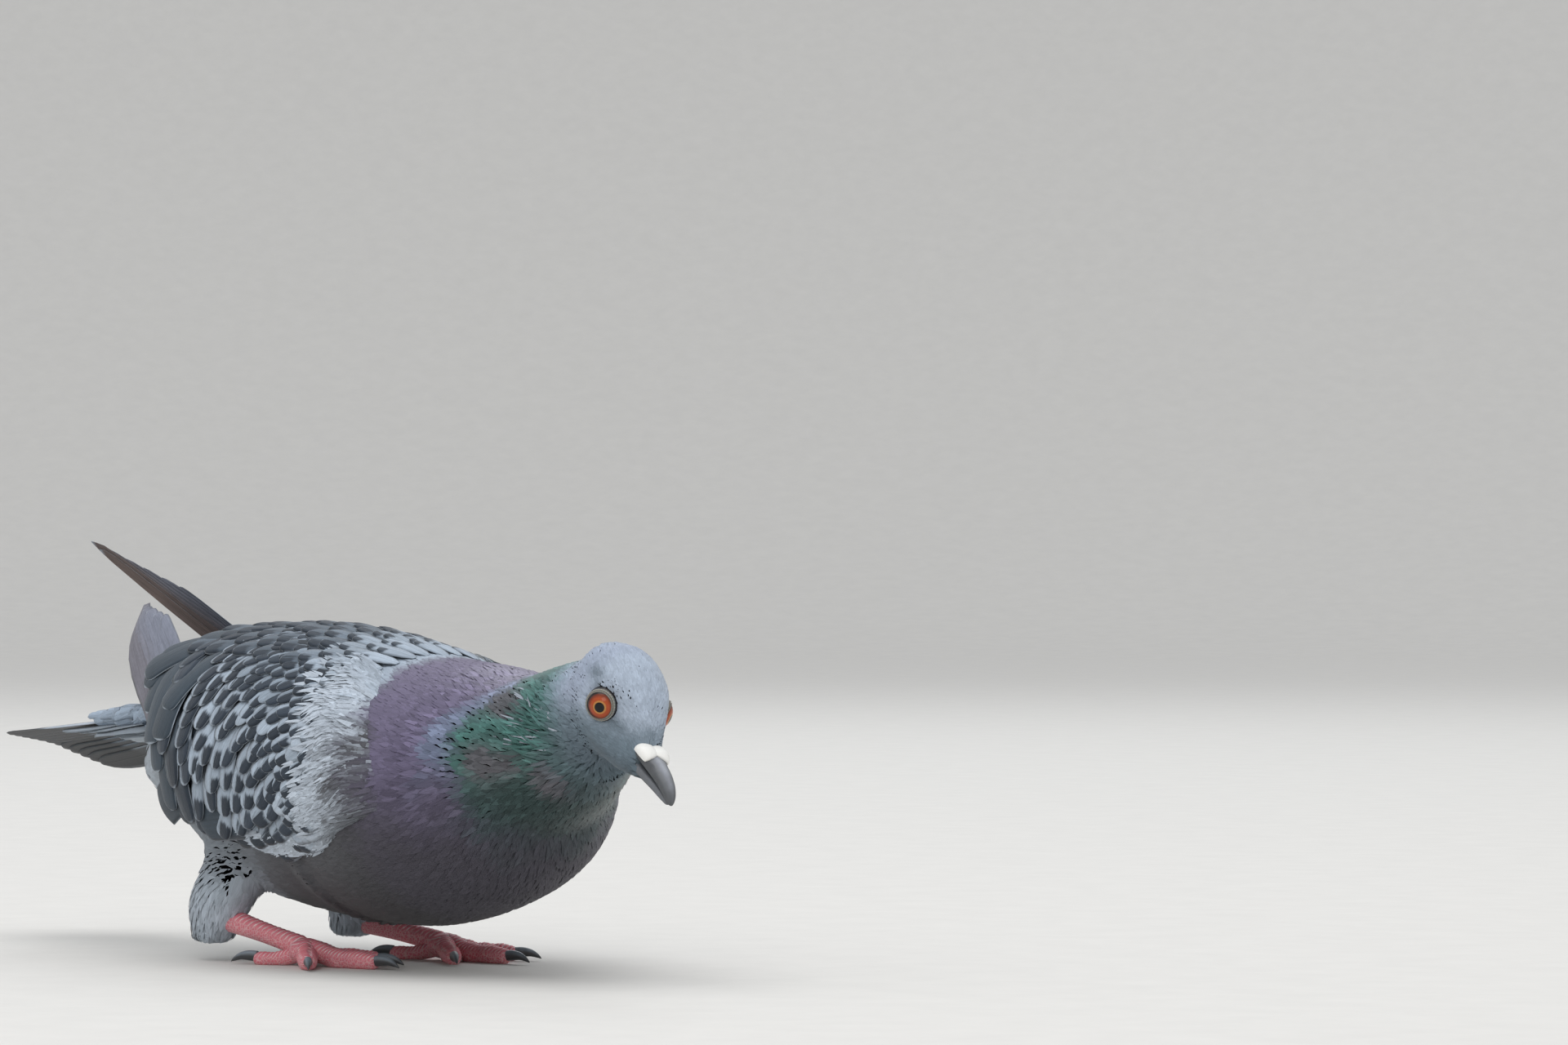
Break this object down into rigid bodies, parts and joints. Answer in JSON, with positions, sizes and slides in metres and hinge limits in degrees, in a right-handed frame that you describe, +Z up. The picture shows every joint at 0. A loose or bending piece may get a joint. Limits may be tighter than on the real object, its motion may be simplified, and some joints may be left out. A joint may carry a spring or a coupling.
{
  "type": "pigeon",
  "caption": "Life-size feral pigeon crouched in mid-stride on bare feet, head turned to its right and bill pointing down, wing tips raised over the tail.",
  "frame": {"origin": "on the floor, under the middle of the bounding box", "axes": "+X the way the body faces, +Y to the bird's left, +Z up"},
  "size_m": [0.301, 0.0888, 0.1135],
  "materials": {
    "body_feathers": "soft dark grey breast, belly and leg feathers with a faint purple-brown tint",
    "neck_feathers": "glossed green and violet neck hackles",
    "head_feathers": "matt blue-grey short feathers",
    "wing_feathers": "matt pale grey coverts with black chequers",
    "flight_feathers": "dark slate and brown-grey flight feathers",
    "tail_feathers": "blue-grey with a black band at the tip",
    "leg_scales": "coral-pink scaled skin",
    "claw_horn": "blue-black horn",
    "bill_horn": "dark slate horn",
    "cere_skin": "powdery white skin",
    "eyes": "orange iris, black pupil, clear wet surface"
  },
  "bodies": {
    "root": {"trunk": "body_feathers", "neck": "neck_feathers", "head": "head_feathers", "eye_right": "eyes", "eye_left": "eyes", "bill_upper": "bill_horn", "bill_lower": "bill_horn", "cere": "cere_skin", "wing_coverts_right": "wing_feathers", "wing_coverts_left": "wing_feathers", "secondaries_right": "flight_feathers", "secondaries_left": "flight_feathers", "primaries_right": "flight_feathers", "primaries_left": "flight_feathers", "tail": "tail_feathers", "thigh_right": "body_feathers", "thigh_left": "body_feathers", "tarsus_right": "leg_scales", "tarsus_left": "leg_scales", "foot_right": "leg_scales", "foot_left": "leg_scales", "claw_inner_right": "claw_horn", "claw_middle_right": "claw_horn", "claw_outer_right": "claw_horn", "claw_hind_right": "claw_horn", "claw_inner_left": "claw_horn", "claw_middle_left": "claw_horn", "claw_outer_left": "claw_horn", "claw_hind_left": "claw_horn"}
  },
  "joints": []
}
